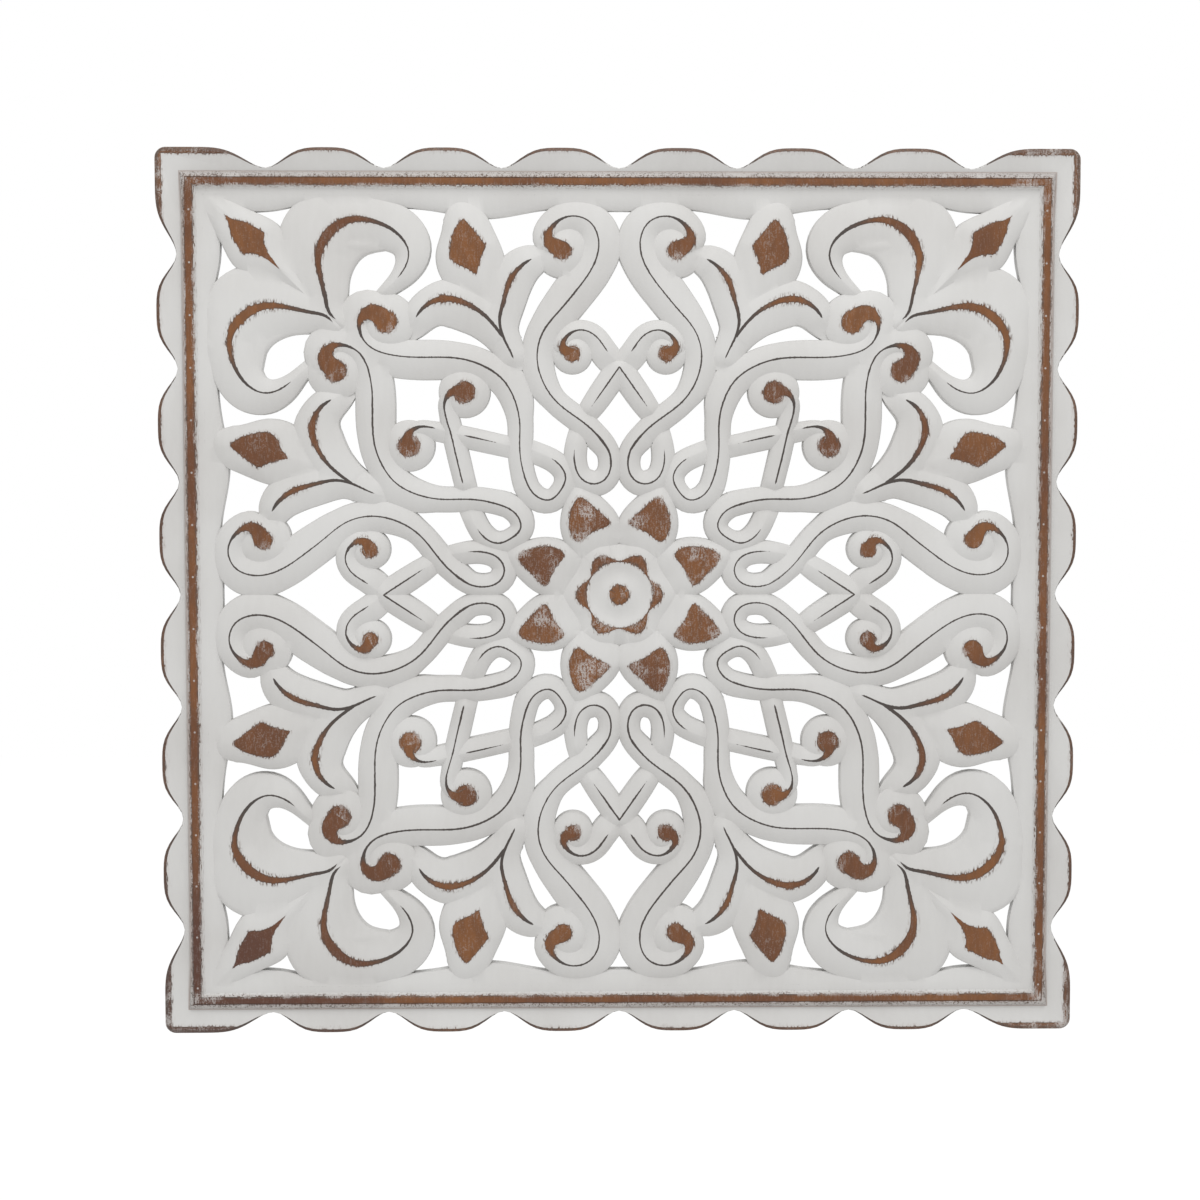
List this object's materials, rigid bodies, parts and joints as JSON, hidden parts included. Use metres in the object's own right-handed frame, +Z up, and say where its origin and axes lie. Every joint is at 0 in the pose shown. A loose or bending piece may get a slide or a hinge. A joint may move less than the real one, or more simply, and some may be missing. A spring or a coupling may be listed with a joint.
{
  "type": "mandala wall panel",
  "caption": "Carved openwork wall panel with scrolls, leaves and petals round a small flower inside a beaded, scalloped square frame",
  "frame": {"origin": "middle of the flat back, which lies against the wall", "axes": "+X to the viewer's right, +Y from the carved face into the wall, +Z up"},
  "size_m": [0.6, 0.015, 0.58],
  "materials": {
    "panel": "matte whitewash, worn to brown on the ridges"
  },
  "bodies": {
    "root": {"panel": "panel"}
  },
  "joints": []
}
